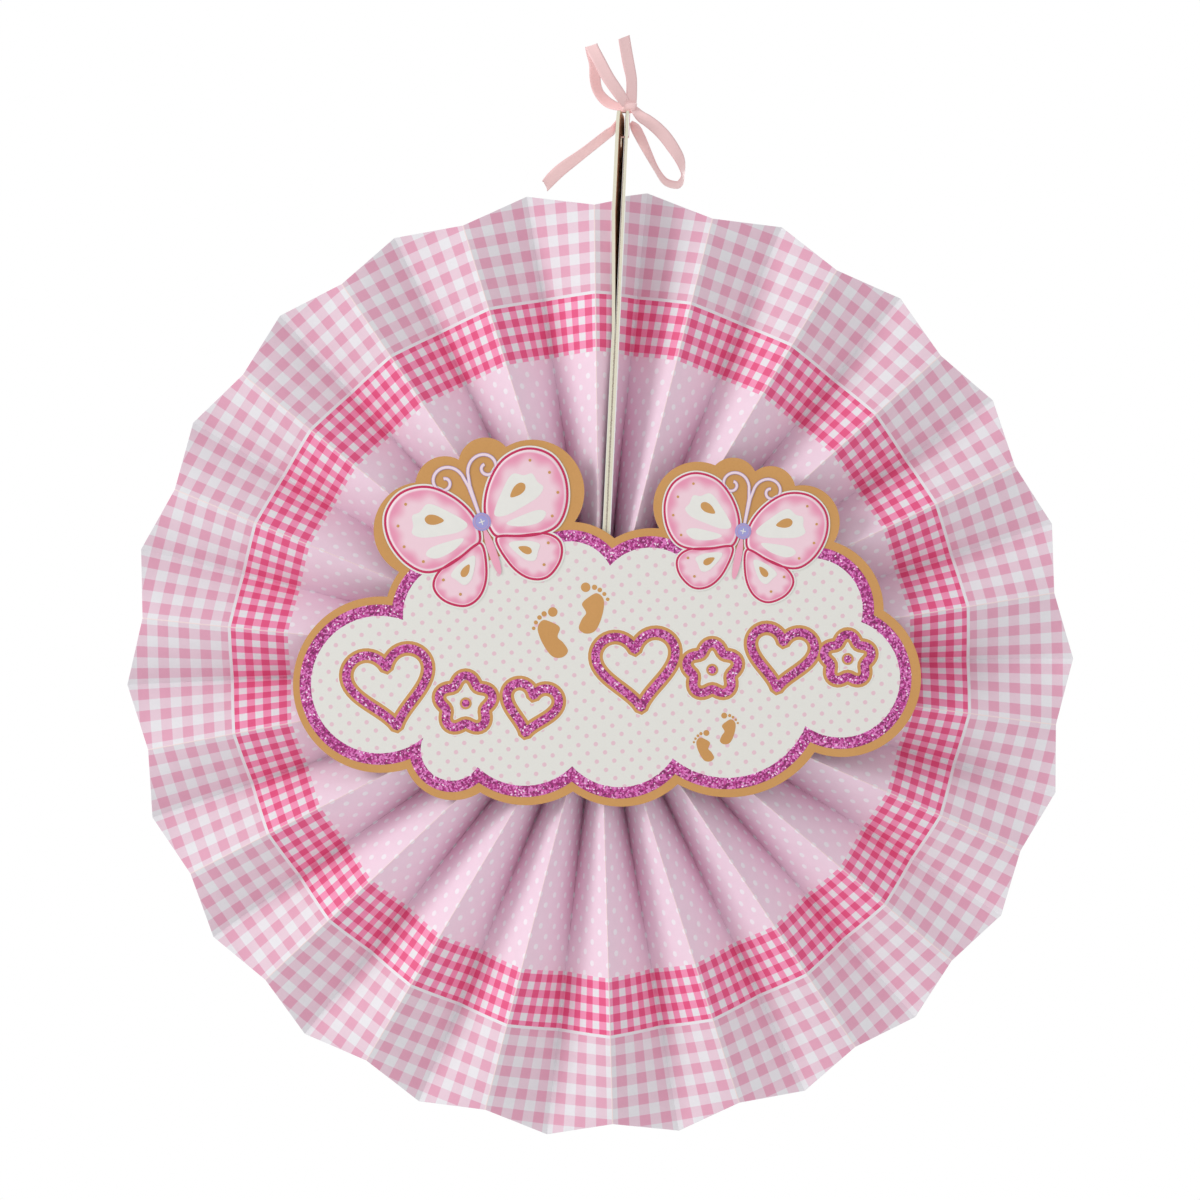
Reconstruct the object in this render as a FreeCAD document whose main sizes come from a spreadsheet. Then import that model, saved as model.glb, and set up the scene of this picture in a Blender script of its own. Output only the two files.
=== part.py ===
import FreeCAD, Part
import math
import os

import Sketcher
from FreeCAD import Placement, Rotation, Vector

# A paper fan rosette, hung by a ribbon: millimetres, +Z up, front faces -Y.
# The hub is the centre of the folds. The origin is the punched hole that the
# ribbon goes through, so the hub lies below it.

# Driving dimensions, in millimetres and degrees
SIZES = {
    # Folded paper sheet: front folds are ridges, back folds are valleys
    "pleat_count": 22,
    "valley_tip_radius": 200.0,
    "ridge_setback": 6.7,
    "inner_radius": 6.0,
    "rim_depth": 6.5,
    "paper_thickness": 0.3,
    "fold_width": 0.4,
    "start_gap": 3.1,
    "end_gap": 3.35,
    "end_panel_drop": 2.0,
    "end_clearance": 0.25,
    "pleat_drift": 1.35,
    "settled_radius": 60.0,
    # Card strips that close the fan
    "strip_thickness": 1.4,
    "strip_head": 11.5,
    "strip_lean": 2.65,
    "strip_corner": 6.0,
    "strip_parting": 138.0,
    "strip_open_height": 190.0,
    "strip_spread": 1.2,
    "strip_twist": 4.6,
    "glue_gap": 0.1,
    "hang_hole_height": 221.0,
    "hang_hole_radius": 2.7,
    # Thread ring at the hub
    "thread_ring_radius": 9.5,
    "thread_radius": 0.5,
    "thread_clearance": 0.3,
    # Ribbon
    "ribbon_width": 5.5,
    "ribbon_thickness": 0.35,
    "ribbon_clearance": 0.25,
    "gathered_width": 3.6,
    "knot_length": 6.4,
    "knot_radius": 2.2,
    "knot_shift": 2.0,
    # Die-cut card and the foam pads behind it
    "card_thickness": 1.0,
    "pad_thickness": 1.0,
    "pad_side": 13.0,
    "pad_spacing": 26.0,
    "pad_seat": 0.05,
}

# Round lobes of the die-cut card, clockwise from its left end. Each has its
# centre to the right of the hub, its centre above the hub, and its radius.
LOBES = {
    "left_end": (-91.3, -8.2, 36.8),
    "left_shoulder": (-59.7, 20.9, 30.0),
    "left_wing": (-74.6, 56.4, 19.85),
    "left_feeler": (-64.7, 74.7, 12.4),
    "left_curl": (-47.8, 83.6, 11.3),
    "left_tip": (-28.2, 72.3, 21.7),
    "middle_left": (-11.9, 32.9, 26.8),
    "middle_right": (21.6, 26.5, 30.6),
    "right_wing": (40.7, 66.3, 18.5),
    "right_curl": (55.5, 76.2, 10.3),
    "right_feeler": (71.2, 72.6, 10.4),
    "right_tip": (84.6, 59.6, 15.4),
    "right_shoulder": (88.8, 23.2, 29.5),
    "right_end": (100.9, -5.4, 33.0),
    "bottom_right": (53.6, -11.5, 43.7),
    "bottom_middle": (8.7, -24.4, 34.7),
    "bottom_left": (-30.9, -21.9, 36.6),
    "bottom_corner": (-61.2, -35.3, 21.1),
}

# Ribbon stretches, each a list of places along it. A place is its offset from
# the knot in x, y and z, then the slope of its width and how far that width
# turns away from the front, both in degrees.
UPPER_LOOP = [
    (-1.0, -1.0, 1.2, 35, 41),
    (-4.0, -2.8, 5.4, 35, 23),
    (-8.8, -4.4, 12.2, 33, 14),
    (-12.5, -4.2, 19.1, 27, 14),
    (-15.1, -2.4, 24.1, 21, 8),
    (-15.9, 0.2, 26.4, 19, 8),
    (-15.4, 2.8, 24.2, 16, 8),
    (-14.3, 4.8, 19.1, 6, 23),
    (-14.2, 5.4, 12.2, 4, 35),
    (-12.7, 5.2, 7.2, 32, 37),
    (-9.2, 4.2, 3.1, 52, 32),
    (-4.8, 2.6, 0.9, 64, 46),
    (-1.0, 0.8, 0.3, 75, 60),
]
UPPER_TAIL = [
    (0.8, 0.6, 0.2, 5, 37),
    (1.15, 0.8, 5.4, -2, 37),
    (1.1, 0.4, 12.2, 4, 35),
    (0.0, -0.4, 17.8, 8, 26),
    (-1.1, -1.6, 23.6, 12, 26),
    (-2.1, -2.8, 29.4, 25, 23),
]
LOWER_LOOP = [
    (1.2, -0.4, 0.4, 70, 53),
    (4.6, -2.0, -3.6, 62, 28),
    (8.0, -3.2, -6.0, 58, 18),
    (12.1, -4.4, -9.5, 50, 11),
    (16.1, -5.0, -14.0, 42, 11),
    (20.4, -4.4, -20.5, 17, 28),
    (22.0, -3.0, -24.4, 10, 52),
    (22.7, -1.0, -28.5, 5, 76),
    (21.9, 0.8, -31.3, -45, 66),
    (19.9, 2.0, -32.3, -85, 63),
    (15.3, 3.0, -30.6, -120, 65),
    (11.7, 3.4, -25.5, -145, 71),
    (8.5, 3.2, -19.4, -152, 60),
    (5.3, 2.4, -13.0, -154, 46),
    (2.9, 1.2, -8.6, -155, 46),
    (0.9, 0.4, -6.0, -155, 81),
]
LOWER_TAIL = [
    (-5.2, 0.6, -5.9, -52, 81),
    (-6.8, 1.2, -9.1, -52, 60),
    (-9.4, 1.6, -11.1, -52, 52),
    (-19.4, 2.0, -18.9, -52, 47),
    (-27.7, 1.6, -25.1, -50, 28),
    (-32.0, 1.2, -29.0, -46, 26),
    (-35.6, 0.8, -33.0, -62, 37),
]

# How finely the curved paper and the thread are divided
PAPER_STEPS = 6
THREAD_SIDES = 6

doc = FreeCAD.newDocument("paper_fan_rosette")
sheet = doc.addObject("Spreadsheet::Sheet", "Sizes")


def fill_sheet():
    """Write every driving dimension to a cell of its own, with its name as alias."""
    cells = dict(SIZES)
    for name, (across, up, radius) in LOBES.items():
        cells[name + "_x"] = across
        cells[name + "_z"] = up
        cells[name + "_radius"] = radius
    for row, (name, value) in enumerate(cells.items(), start=1):
        sheet.set(f"A{row}", name)
        sheet.set(f"B{row}", str(value))
        sheet.setAlias(f"B{row}", name)
    doc.recompute()


fill_sheet()


def size(name):
    """Read one driving dimension from the sheet."""
    return float(sheet.get(name))


# Sizes that follow from the driving ones
pitch = (360.0 - size("start_gap") - size("end_gap")) / (size("pleat_count") - 0.5)
half_pitch = math.radians(pitch / 2)
panel_width = math.hypot(size("rim_depth"), half_pitch * size("valley_tip_radius"))
strip_angle = 90.0 - size("strip_lean")
ridge_tip_radius = size("valley_tip_radius") - size("ridge_setback")
strip_top = size("hang_hole_height") + size("strip_head")
paper_offset = 1.5 * size("glue_gap") + size("strip_thickness") + size("paper_thickness") / 2
HALF_PITCH = "((360 - Sizes.start_gap - Sizes.end_gap) / (Sizes.pleat_count - 0.5) * pi / 360)"
STRIP_TOP = "Sizes.hang_hole_height + Sizes.strip_head"
PANEL_WIDTH = f"sqrt(Sizes.rim_depth ^ 2 + ({HALF_PITCH} * Sizes.valley_tip_radius) ^ 2)"


def in_row_frame():
    """Placement that carries the hub's coordinates to the punched hole's."""
    height = size("hang_hole_height")
    lean = math.radians(size("strip_lean"))
    return Placement(Vector(-height * math.sin(lean), 0, -height * math.cos(lean)), Rotation())


def along_strips():
    """Placement of a frame whose Z runs from the hub along the card strips."""
    return in_row_frame() * Placement(Vector(), Rotation(Vector(0, 1, 0), size("strip_lean")))


def triangle(first, second, third):
    return Part.Face(Part.makePolygon([first, second, third, first]))


def sheet_solid(front, back):
    """Closed solid between two grids of points, the two sides of one sheet."""
    faces = []
    rows = len(front)
    columns = len(front[0])

    def add_quad(one, two, three, four):
        faces.append(triangle(one, two, three))
        faces.append(triangle(one, three, four))

    for i in range(rows - 1):
        for j in range(columns - 1):
            add_quad(front[i][j], front[i][j + 1], front[i + 1][j + 1], front[i + 1][j])
            add_quad(back[i][j], back[i + 1][j], back[i + 1][j + 1], back[i][j + 1])
    for i in range(rows - 1):
        for j, turn in ((0, 1), (columns - 1, -1)):
            edge = [front[i][j], front[i + 1][j], back[i + 1][j], back[i][j]]
            add_quad(*edge[::turn])
    for j in range(columns - 1):
        for i, turn in ((0, -1), (rows - 1, 1)):
            edge = [front[i][j], front[i][j + 1], back[i][j + 1], back[i][j]]
            add_quad(*edge[::turn])
    shell = Part.Shell(faces)
    shell.sewShape()
    solid = Part.Solid(shell)
    if solid.Volume < 0:
        solid.reverse()
    return solid


# Folded paper sheet

def valley_angle(index):
    """Direction of a back fold, clockwise round the fan from the strips."""
    drift = size("pleat_drift") * math.sin(2 * math.pi * index / (size("pleat_count") - 1))
    return size("start_gap") + index * pitch + drift


def fold_angles():
    """Directions of all folds between the strips: valley, ridge, valley, ridge."""
    count = int(size("pleat_count"))
    angles = []
    for index in range(count):
        angles.append(valley_angle(index))
        angles.append((valley_angle(index) + valley_angle(index + 1)) / 2)
    angles[-1] = 360.0 - size("end_gap")
    return angles


def fold_direction(angle, radius):
    """Clockwise angle of a fold at a radius: near the hub the strips crowd the folds."""
    crowd = math.degrees(math.asin((paper_offset + size("fold_width")) / radius))
    crowded = crowd + angle / 360.0 * (360.0 - 2 * crowd)
    settled = (radius - size("inner_radius")) / (size("settled_radius") - size("inner_radius"))
    return crowded + (angle - crowded) * min(1.0, settled)


def fold_depth(radius):
    """Distance from the ridges back to the valleys at a radius."""
    return math.sqrt(panel_width ** 2 - (half_pitch * radius) ** 2)


def strip_opening(radius):
    """How far the paper by the left strip stands aside, and the strip's turn, at a radius."""
    share = (radius - size("strip_parting")) / (size("strip_open_height") - size("strip_parting"))
    share = min(1.0, max(0.0, share))
    aside = size("end_clearance") + size("strip_spread") * share
    return aside, math.radians(size("strip_twist")) * share


def radial_place(angle, radius, depth):
    """Point at a clockwise angle from the strips, with its depth behind the hub's plane."""
    turn = math.radians(strip_angle - angle)
    return Vector(radius * math.cos(turn), depth, radius * math.sin(turn))


def beside_strips(offset, radius, depth):
    """Point beside the strips: offset to the right of the plane between them."""
    turn = math.radians(strip_angle)
    return Vector(
        radius * math.cos(turn) + offset * math.sin(turn),
        depth,
        radius * math.sin(turn) - offset * math.cos(turn),
    )


def end_panel(radius, tip, gap, opens):
    """Width of the free part of an end panel beside the strips, and its depth at a radius."""
    def reach(place):
        aside, _ = strip_opening(place)
        fold = place * math.sin(math.radians(fold_direction(gap, place)))
        return fold - paper_offset - opens * aside

    width = math.hypot(reach(tip), size("end_panel_drop"))
    return width, math.sqrt(width ** 2 - reach(radius) ** 2)


def fold_row(share):
    """Middle of the paper across the whole fan, at a share of the way to its rim."""
    inner = size("inner_radius")
    valley_radius = inner + share * (size("valley_tip_radius") - inner)
    ridge_radius = inner + share * (ridge_tip_radius - inner)
    half_depth = panel_width / 2
    half_fold = size("fold_width") / 2
    slant = (valley_radius - ridge_radius) / panel_width
    free, rise = end_panel(valley_radius, size("valley_tip_radius"), size("start_gap"), 0)
    leaves = fold_depth(valley_radius) / 2 - rise
    row = [
        beside_strips(paper_offset, ridge_radius, -half_depth),
        beside_strips(paper_offset, valley_radius - slant * free, leaves),
    ]
    for index, angle in enumerate(fold_angles()):
        is_valley = index % 2 == 0
        radius = valley_radius if is_valley else ridge_radius
        depth = fold_depth(radius) / 2 if is_valley else -fold_depth(radius) / 2
        middle = fold_direction(angle, radius)
        flat = math.degrees(half_fold / radius)
        row.append(radial_place(middle - flat, radius, depth))
        row.append(radial_place(middle + flat, radius, depth))
    free, rise = end_panel(ridge_radius, ridge_tip_radius, size("end_gap"), 1)
    meets = rise - fold_depth(ridge_radius) / 2
    for depth, radius in ((meets, ridge_radius + slant * free), (half_depth, valley_radius)):
        aside, twist = strip_opening(radius)
        row.append(beside_strips(depth * math.tan(twist) - paper_offset - aside, radius, depth))
    return row


def thickened(row):
    """Front and back points of the paper on both sides of a row of middle points."""
    half = size("paper_thickness") / 2
    front = []
    back = []
    normals = []
    for start, end in zip(row, row[1:]):
        middle = start + end
        outward = Vector(middle.x, 0, middle.z).normalize()
        normals.append(outward.cross(end - start).normalize())
    normals = [normals[0]] + normals + [normals[-1]]
    for point, before, after in zip(row, normals, normals[1:]):
        shift = (before + after) * (half / (1 + before.dot(after)))
        front.append(point + shift)
        back.append(point - shift)
    return front, back


def make_fan():
    """One sheet, folded into panels, with a needle hole for the thread in each."""
    shares = [math.sin(math.pi / 2 * step / PAPER_STEPS) for step in range(PAPER_STEPS + 1)]
    rows = [thickened(fold_row(share)) for share in shares]
    paper = sheet_solid([front for front, back in rows], [back for front, back in rows])
    fan = doc.addObject("Part::Feature", "PleatedFan")
    fan.Label = "pleated_fan"
    fan.Shape = paper.cut(thread_ring(size("thread_radius") + size("thread_clearance")))
    fan.Placement = in_row_frame()
    return fan


# Card strips

def strip_section(body, name, height, side, opening):
    """Sketch of a strip's cross-section at a height, moved and turned by its opening."""
    sketch = body.newObject("Sketcher::SketchObject", name)
    plane = [item for item in body.Origin.OriginFeatures if item.Role == "XY_Plane"][0]
    sketch.AttachmentSupport = [(plane, "")]
    sketch.MapMode = "FlatFace"
    spread = f"Sizes.strip_spread * {opening}"
    turn = f"Sizes.strip_twist * {opening}"
    middle = "(Sizes.glue_gap + Sizes.strip_thickness) / 2"
    sketch.setExpression("AttachmentOffset.Base.x", f"{side} * ({middle} + {spread})")
    sketch.setExpression("AttachmentOffset.Base.z", height)
    sketch.setExpression("AttachmentOffset.Rotation.Angle", f"-({turn}) * 1 deg")
    half = size("strip_thickness") / 2
    corners = [Vector(half * x, half * y, 0) for x, y in ((-1, -1), (1, -1), (1, 1), (-1, 1))]
    for start, end in zip(corners, corners[1:] + corners[:1]):
        sketch.addGeometry(Part.LineSegment(start, end))
    for line in range(4):
        sketch.addConstraint(Sketcher.Constraint("Coincident", line, 2, (line + 1) % 4, 1))
    for line in (0, 2):
        sketch.addConstraint(Sketcher.Constraint("Horizontal", line))
    for line in (1, 3):
        sketch.addConstraint(Sketcher.Constraint("Vertical", line))
    sketch.addConstraint(Sketcher.Constraint("Symmetric", 0, 1, 1, 2, -1, 1))
    width = sketch.addConstraint(Sketcher.Constraint("DistanceX", 0, 1, 0, 2, 2 * half))
    sketch.setExpression(f"Constraints[{width}]", "Sizes.strip_thickness")
    depth = sketch.addConstraint(Sketcher.Constraint("DistanceY", 1, 1, 1, 2, 2 * half))
    sketch.setExpression(f"Constraints[{depth}]", PANEL_WIDTH)
    return sketch


def strip_hole(body, name, height, radius):
    """Round hole punched through a strip, centred on its width."""
    sketch = body.newObject("Sketcher::SketchObject", name + "Circle")
    plane = [item for item in body.Origin.OriginFeatures if item.Role == "YZ_Plane"][0]
    sketch.AttachmentSupport = [(plane, "")]
    sketch.MapMode = "FlatFace"
    start_height = size("thread_ring_radius")
    start_radius = size("thread_radius")
    sketch.addGeometry(Part.Circle(Vector(0, start_height, 0), Vector(0, 0, 1), start_radius))
    sketch.addConstraint(Sketcher.Constraint("PointOnObject", 0, 3, -2))
    up = sketch.addConstraint(Sketcher.Constraint("DistanceY", -1, 1, 0, 3, start_height))
    sketch.setExpression(f"Constraints[{up}]", height)
    round_size = sketch.addConstraint(Sketcher.Constraint("Radius", 0, start_radius))
    sketch.setExpression(f"Constraints[{round_size}]", radius)
    pocket = body.newObject("PartDesign::Pocket", name)
    pocket.Profile = sketch
    pocket.Type = 1
    pocket.Midplane = True
    return pocket


def make_strip(label, side, opening):
    """Card strip lofted from the hub to its top, with punched holes and rounded corners."""
    body = doc.addObject("PartDesign::Body", label.title().replace("_", ""))
    body.Label = label
    sections = [
        strip_section(body, label + "_hub", "Sizes.inner_radius", side, 0),
        strip_section(body, label + "_parting", "Sizes.strip_parting", side, 0),
        strip_section(body, label + "_open", "Sizes.strip_open_height", side, opening),
        strip_section(body, label + "_top", STRIP_TOP, side, opening),
    ]
    loft = body.newObject("PartDesign::AdditiveLoft", label + "_card")
    loft.Profile = sections[0]
    loft.Sections = sections[1:]
    loft.Ruled = True
    doc.recompute()
    strip_hole(body, label + "_hang_hole", "Sizes.hang_hole_height", "Sizes.hang_hole_radius")
    thread_hole = "Sizes.thread_radius + Sizes.thread_clearance"
    pocket = strip_hole(body, label + "_thread_hole", "Sizes.thread_ring_radius", thread_hole)
    doc.recompute()
    corners = []
    for number, edge in enumerate(pocket.Shape.Edges, start=1):
        at_top = edge.BoundBox.ZMin > strip_top - size("fold_width")
        if at_top and edge.BoundBox.YLength < size("strip_thickness"):
            corners.append(f"Edge{number}")
    fillet = body.newObject("PartDesign::Fillet", label + "_corners")
    fillet.Base = (pocket, corners)
    fillet.setExpression("Radius", "Sizes.strip_corner")
    body.Tip = fillet
    body.Placement = along_strips()
    return body


# Thread ring

def thread_ring(radius):
    """Ring about the hub with a six-sided section of the given radius."""
    corners = []
    for index in range(THREAD_SIDES + 1):
        angle = 2 * math.pi * index / THREAD_SIDES
        across = size("thread_ring_radius") + radius * math.cos(angle)
        corners.append(Vector(across, radius * math.sin(angle), 0))
    section = Part.Face(Part.makePolygon(corners))
    return section.revolve(Vector(), Vector(0, 1, 0), 360)


def make_thread():
    thread = doc.addObject("Part::Feature", "HubThread")
    thread.Label = "hub_thread"
    thread.Shape = thread_ring(size("thread_radius"))
    thread.Placement = in_row_frame()
    return thread


# Ribbon

def ribbon_band(places):
    """Flat band through its places, each with its own width direction."""
    middles = [Vector(across, back, up) for across, back, up, slope, turn in places]
    half_width = size("ribbon_width") / 2
    half_thickness = size("ribbon_thickness") / 2
    front = []
    back_side = []
    for index, (across, back, up, slope, turn) in enumerate(places):
        angle = math.radians(slope)
        facing = math.cos(math.radians(turn))
        lean = math.sin(math.radians(turn))
        width = Vector(facing * math.cos(angle), lean, facing * math.sin(angle)) * half_width
        before = middles[max(0, index - 1)]
        after = middles[min(len(middles) - 1, index + 1)]
        normal = (after - before).cross(width).normalize() * half_thickness
        edges = [middles[index] - width, middles[index] + width]
        front.append([edge + normal for edge in edges])
        back_side.append([edge - normal for edge in edges])
    return sheet_solid(front, back_side)


def strip_loop():
    """Part of the ribbon that goes through both holes and round the strips' tops."""
    thickness = size("ribbon_thickness")
    width = size("gathered_width")
    room = size("ribbon_clearance")
    half_chord = width / 2 + room
    lift = math.sqrt(size("hang_hole_radius") ** 2 - half_chord ** 2) - room
    low = size("hang_hole_height") + lift - thickness
    high = strip_top + room
    right = size("glue_gap") / 2 + size("strip_thickness") + room
    lean = math.tan(math.radians(size("strip_twist"))) * width / 2
    left = -right - size("strip_spread") - lean
    outer = Part.makeBox(
        right - left + 2 * thickness,
        width,
        high - low + thickness,
        Vector(left - thickness, -width / 2, low),
    )
    inner = Part.makeBox(
        right - left,
        width,
        high - low - thickness,
        Vector(left, -width / 2, low + thickness),
    )
    return outer.cut(inner), (left + right) / 2, high


def make_ribbon():
    """Ribbon tied in a bow: knot, two loops, two tails and the loop round the strips."""
    loop, knot_offset, knot_base = strip_loop()
    tilt = Placement(Vector(), Rotation(Vector(0, 1, 0), size("strip_lean")))
    loop.Placement = tilt
    half_length = size("knot_length") / 2
    knot_radius = size("knot_radius")
    knot_height = knot_base + knot_radius
    centre = tilt.multVec(Vector(knot_offset + size("knot_shift"), 0, knot_height))
    knot = Part.makeCylinder(knot_radius, 2 * half_length, Vector(-half_length, 0, 0), Vector(1, 0, 0))
    ends = [edge for edge in knot.Edges if edge.BoundBox.XLength < size("ribbon_thickness")]
    knot = knot.makeChamfer(knot_radius / 3, ends)
    pieces = [loop]
    for piece in [knot] + [ribbon_band(p) for p in (UPPER_LOOP, UPPER_TAIL, LOWER_LOOP, LOWER_TAIL)]:
        piece.translate(centre)
        pieces.append(piece)
    ribbon = doc.addObject("Part::Feature", "HangingRibbon")
    ribbon.Label = "hanging_ribbon"
    ribbon.Shape = pieces[0].multiFuse(pieces[1:])
    ribbon.Placement = in_row_frame()
    return ribbon


# Die-cut card

def lobe_circle(name):
    return Vector(size(name + "_x"), size(name + "_z"), 0), size(name + "_radius")


def lobe_corner(first, second):
    """Outer crossing of two neighbouring lobes, where the card's edge has a corner."""
    centre_a, radius_a = lobe_circle(first)
    centre_b, radius_b = lobe_circle(second)
    apart = centre_b - centre_a
    distance = apart.Length
    along = (distance ** 2 + radius_a ** 2 - radius_b ** 2) / (2 * distance)
    aside = math.sqrt(radius_a ** 2 - along ** 2)
    direction = apart / distance
    across = Vector(-direction.y, direction.x, 0)
    foot = centre_a + direction * along
    crossings = [foot + across * aside, foot - across * aside]
    return max(crossings, key=lambda point: point.Length)


def make_card():
    """Card cut out along its lobes, padded forwards from the foam pads."""
    body = doc.addObject("PartDesign::Body", "CloudCard")
    body.Label = "cloud_card"
    sketch = body.newObject("Sketcher::SketchObject", "CloudOutline")
    plane = [item for item in body.Origin.OriginFeatures if item.Role == "XZ_Plane"][0]
    sketch.AttachmentSupport = [(plane, "")]
    sketch.MapMode = "FlatFace"
    names = list(LOBES)
    corners = [lobe_corner(name, after) for name, after in zip(names, names[1:] + names[:1])]
    for index, name in enumerate(names):
        centre, radius = lobe_circle(name)
        start = corners[index] - centre
        end = corners[index - 1] - centre
        first = math.atan2(start.y, start.x)
        last = math.atan2(end.y, end.x)
        circle = Part.Circle(centre, Vector(0, 0, 1), radius)
        sketch.addGeometry(Part.ArcOfCircle(circle, first, last))
    for index in range(len(names)):
        after = (index + 1) % len(names)
        sketch.addConstraint(Sketcher.Constraint("Coincident", index, 1, after, 2))
    for index, name in enumerate(names):
        centre, radius = lobe_circle(name)
        across = sketch.addConstraint(Sketcher.Constraint("DistanceX", index, 3, centre.x))
        sketch.setExpression(f"Constraints[{across}]", f"Sizes.{name}_x")
        up = sketch.addConstraint(Sketcher.Constraint("DistanceY", index, 3, centre.y))
        sketch.setExpression(f"Constraints[{up}]", f"Sizes.{name}_z")
        bend = sketch.addConstraint(Sketcher.Constraint("Radius", index, radius))
        sketch.setExpression(f"Constraints[{bend}]", f"Sizes.{name}_radius")
    pad = body.newObject("PartDesign::Pad", "CardThickness")
    pad.Profile = sketch
    pad.setExpression("Length", "Sizes.card_thickness")
    body.Placement = in_row_frame() * Placement(Vector(0, card_back(), 0), Rotation())
    return body


# Foam pads between the front folds and the card

def pad_back():
    """Depth of the pads' back faces, just in front of the folds that they stick to."""
    nearest = size("pad_spacing") - size("pad_side") / 2
    return -(fold_depth(nearest) + size("paper_thickness")) / 2 - size("pad_seat")


def card_back():
    return pad_back() - size("pad_thickness")


def make_pads():
    """Four foam pads, left, right, above and below the hub."""
    pads = []
    for index in range(4):
        pad = doc.addObject("Part::Box", f"FoamPad{index + 1}")
        pad.setExpression("Length", "Sizes.pad_side")
        pad.setExpression("Width", "Sizes.pad_thickness")
        pad.setExpression("Height", "Sizes.pad_side")
        turn = Placement(Vector(), Rotation(Vector(0, 1, 0), 45 + 90 * index))
        half = size("pad_side") / 2
        pad.Placement = turn * Placement(Vector(size("pad_spacing") - half, card_back(), -half), Rotation())
        pads.append(pad)
    group = doc.addObject("Part::Compound", "AdhesivePads")
    group.Label = "adhesive_pads"
    group.Links = pads
    group.Placement = in_row_frame()
    return group


parts = [
    make_fan(),
    make_strip("left_card_strip", -1, 1),
    make_strip("right_card_strip", 1, 0),
    make_thread(),
    make_ribbon(),
    make_card(),
    make_pads(),
]
doc.recompute()

for item in doc.Objects:
    if "Invalid" in item.State or "Error" in item.State:
        raise RuntimeError(f"{item.Name} failed: {item.State}")
os.makedirs("parts", exist_ok=True)
for part in parts:
    if part.Shape.isNull() or not part.Shape.isValid():
        raise RuntimeError(f"{part.Label} has no valid shape")
for part in parts:
    part.Shape.exportStep(f"parts/{part.Label}.step")
    box = part.Shape.BoundBox
    print(
        f"{part.Label}: {len(part.Shape.Solids)} solids, {part.Shape.Volume:.0f} mm3, "
        f"x {box.XMin:.1f} to {box.XMax:.1f}, y {box.YMin:.1f} to {box.YMax:.1f}, "
        f"z {box.ZMin:.1f} to {box.ZMax:.1f}"
    )
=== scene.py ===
import math
import random

import bmesh
import bpy
from mathutils import Matrix, Vector


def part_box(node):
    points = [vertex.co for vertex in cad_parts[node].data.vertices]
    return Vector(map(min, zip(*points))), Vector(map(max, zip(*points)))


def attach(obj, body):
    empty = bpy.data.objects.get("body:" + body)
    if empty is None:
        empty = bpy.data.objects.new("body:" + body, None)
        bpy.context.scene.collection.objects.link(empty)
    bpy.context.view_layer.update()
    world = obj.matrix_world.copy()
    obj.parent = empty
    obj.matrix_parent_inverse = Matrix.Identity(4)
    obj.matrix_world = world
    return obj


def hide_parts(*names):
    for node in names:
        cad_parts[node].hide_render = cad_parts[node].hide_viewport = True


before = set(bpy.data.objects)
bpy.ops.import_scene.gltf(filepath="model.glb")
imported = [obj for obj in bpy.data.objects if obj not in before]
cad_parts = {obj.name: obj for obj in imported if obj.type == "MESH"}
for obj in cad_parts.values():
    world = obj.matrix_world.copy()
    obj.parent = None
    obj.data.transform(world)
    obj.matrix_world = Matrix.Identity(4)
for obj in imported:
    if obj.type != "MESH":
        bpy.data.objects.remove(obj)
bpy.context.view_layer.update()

MM = 0.001

# Places read from the frame: the middle of the thread ring and the front of the card
thread_low, thread_high = (Vector(corner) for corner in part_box("hub_thread"))
HUB = (thread_low + thread_high) / 2
CARD_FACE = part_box("cloud_card")[0][1]

# Folded paper sheet, in metres and degrees: the gaps lie between the strips and the first
# and last valley folds, the drift moves the folds between them, and the folds crowd together
# near the hub until they are settled
PLEATS = 22
VALLEY_TIP = 200.0 * MM
RIDGE_TIP = 193.3 * MM
INNER = 6.0 * MM
RIM_DEPTH = 6.5 * MM
PAPER = 0.3 * MM
START_GAP = 3.1
END_GAP = 3.35
END_DROP = 2.0 * MM
DRIFT = 1.35
SETTLED = 60.0 * MM
BOW = 0.05
COLUMNS = 6
ROWS = 44
PITCH = (360.0 - START_GAP - END_GAP) / (PLEATS - 0.5)
HALF_PITCH = math.radians(PITCH / 2)
PANEL = math.hypot(RIM_DEPTH, HALF_PITCH * VALLEY_TIP)

# Card strips: the left one parts from the right one between two heights over the hub
STRIP_LEAN = 2.65
STRIP = 1.4 * MM
STRIP_TOP = 232.5 * MM
PARTING = 138.0 * MM
OPEN_HEIGHT = 190.0 * MM
SPREAD = 1.2 * MM
TWIST = math.radians(4.6)
GLUE = 0.1 * MM
PAPER_OFFSET = 1.5 * GLUE + STRIP + PAPER / 2
# Painted shade along the seam between the strips: full up to the first distance, gone at the second
SEAM_SHADE = (0.12 * MM, 0.42 * MM)
SEAM_SHADE_WANDER = 0.4 * MM

# Printed bands, as distances from the hub along the paper
LIGHT_CHECK = 9.0 * MM
DARK_CHECK = 6.8 * MM
RING_OUTER = 156.2 * MM
RING_INNER = 131.4 * MM
WHITE_LINE = 1.3 * MM
LIGHT_EDGE = 3.65 * MM
FIELD_ROWS = 9.0 * MM
FIELD_DOT = 1.25 * MM
# Painted shade: the field's valley folds are painted deeper pink up to here, fading out by the next
FIELD_SHADE_FULL = 90.0 * MM
FIELD_SHADE_GONE = 135.0 * MM
# Pale line along a front fold: full up to the first distance, gone at the second
CREASE = (0.15 * MM, 0.4 * MM)

# Camera, level with the middle of the photograph
CAMERA_DISTANCE = 1.5
VIEW_HEIGHT = 506.2 * MM
VIEW_CENTRE = Vector((0.0, 0.0, 27.1 * MM))


# Small tools

def add_object(name, data):
    item = bpy.data.objects.new(name, data)
    bpy.context.scene.collection.objects.link(item)
    return item


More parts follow.
